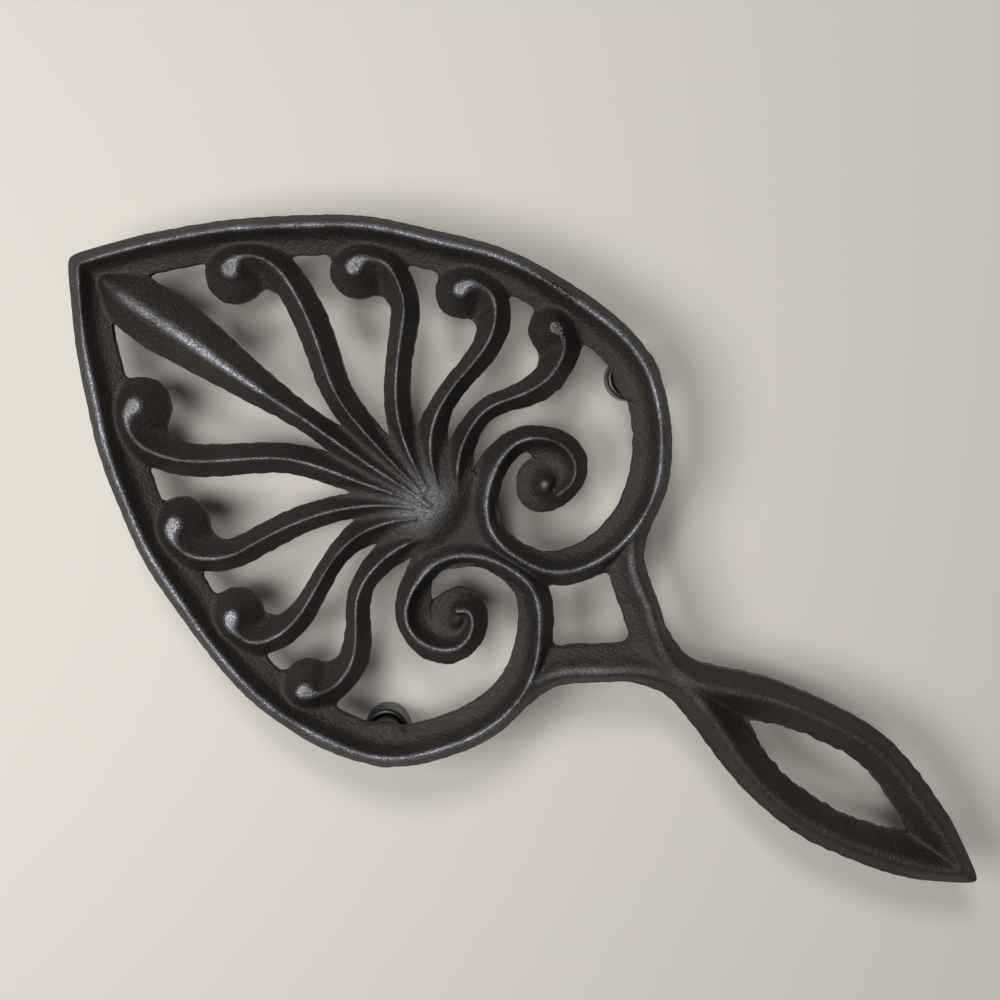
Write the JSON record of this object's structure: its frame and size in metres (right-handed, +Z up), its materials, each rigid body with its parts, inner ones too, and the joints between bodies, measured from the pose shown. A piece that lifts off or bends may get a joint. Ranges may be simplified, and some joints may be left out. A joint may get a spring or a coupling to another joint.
{
  "type": "trivet",
  "caption": "Leaf-shaped openwork cast-iron trivet with a looped handle, scrolls and a palmette of fronds inside a beaded rim, standing on short legs with rubber tips.",
  "frame": {"origin": "on the table, under the middle of the whole length, on the long axis", "axes": "+X along the axis from the leaf's tip to the end of the handle, +Y to the left side seen from above with the tip behind, +Z up"},
  "size_m": [0.2399, 0.1148, 0.025],
  "materials": {
    "cast_iron": "seasoned sand-cast iron, dark brown-black with a fine grain, rubbed to a blue-grey satin along the crests",
    "rubber": "smooth moulded black rubber with a soft sheen"
  },
  "bodies": {
    "root": {"bud": "cast_iron", "fan": "cast_iron", "frond_1_left": "cast_iron", "frond_1_right": "cast_iron", "frond_2_left": "cast_iron", "frond_2_right": "cast_iron", "frond_3_left": "cast_iron", "frond_3_right": "cast_iron", "frond_4_left": "cast_iron", "frond_4_right": "cast_iron", "handle_rail_left": "cast_iron", "handle_rail_right": "cast_iron", "leg_front": "cast_iron", "leg_left": "cast_iron", "leg_right": "cast_iron", "rim_left": "cast_iron", "rim_right": "cast_iron", "rubber_tip_front": "rubber", "rubber_tip_left": "rubber", "rubber_tip_right": "rubber", "scroll_eye_left": "cast_iron", "scroll_eye_right": "cast_iron", "scroll_left": "cast_iron", "scroll_right": "cast_iron", "yoke_left": "cast_iron", "yoke_right": "cast_iron"}
  },
  "joints": []
}
